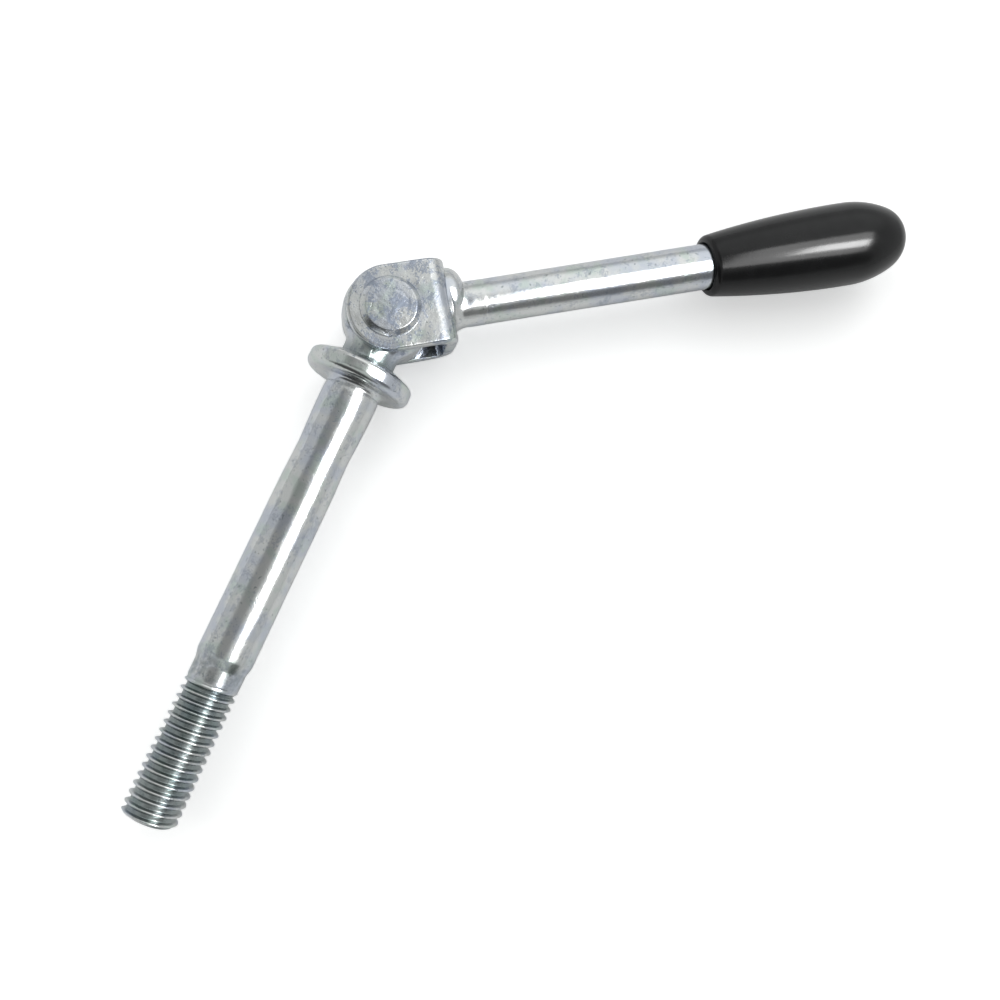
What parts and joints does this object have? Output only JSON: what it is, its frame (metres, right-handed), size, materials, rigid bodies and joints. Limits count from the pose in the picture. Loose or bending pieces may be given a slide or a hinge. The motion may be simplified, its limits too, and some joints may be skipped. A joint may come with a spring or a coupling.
{
  "type": "adjustable clamping lever",
  "caption": "Articulated clamping lever: a zinc-plated eye bolt with rolled thread, shank and collar, and a hinged lever on a rivet with a black oval grip.",
  "frame": {"origin": "centre of the collar's bearing face, on the stud's axis", "axes": "the stud's axis is X with the thread towards -X; the hinge pin's axis is parallel to +Z, its head up; the lever lies in the XY plane, 54 degrees from the stud's line, towards -Y"},
  "size_m": [0.2259, 0.1353, 0.0274],
  "materials": {
    "zinc_forging": "bright zinc plate over forged steel",
    "zinc_sheet": "bright zinc plate over pressed sheet",
    "zinc_rivet": "zinc plate, worn by riveting",
    "zinc_rod": "bright zinc plate over drawn rod, with the weld",
    "grip_black": "glossy black moulded plastic"
  },
  "bodies": {
    "stud": {"eye_bolt": "zinc_forging"},
    "lever": {"yoke": "zinc_sheet", "hinge_pin": "zinc_rivet", "lever_rod": "zinc_rod", "grip": "grip_black"}
  },
  "joints": [
    {"name": "lever_fold", "type": "hinge", "parent": "stud", "child": "lever", "pos_m": [0.02, 0, 0], "axis": [0, 0, 1], "range_deg": [-51, 159]}
  ]
}
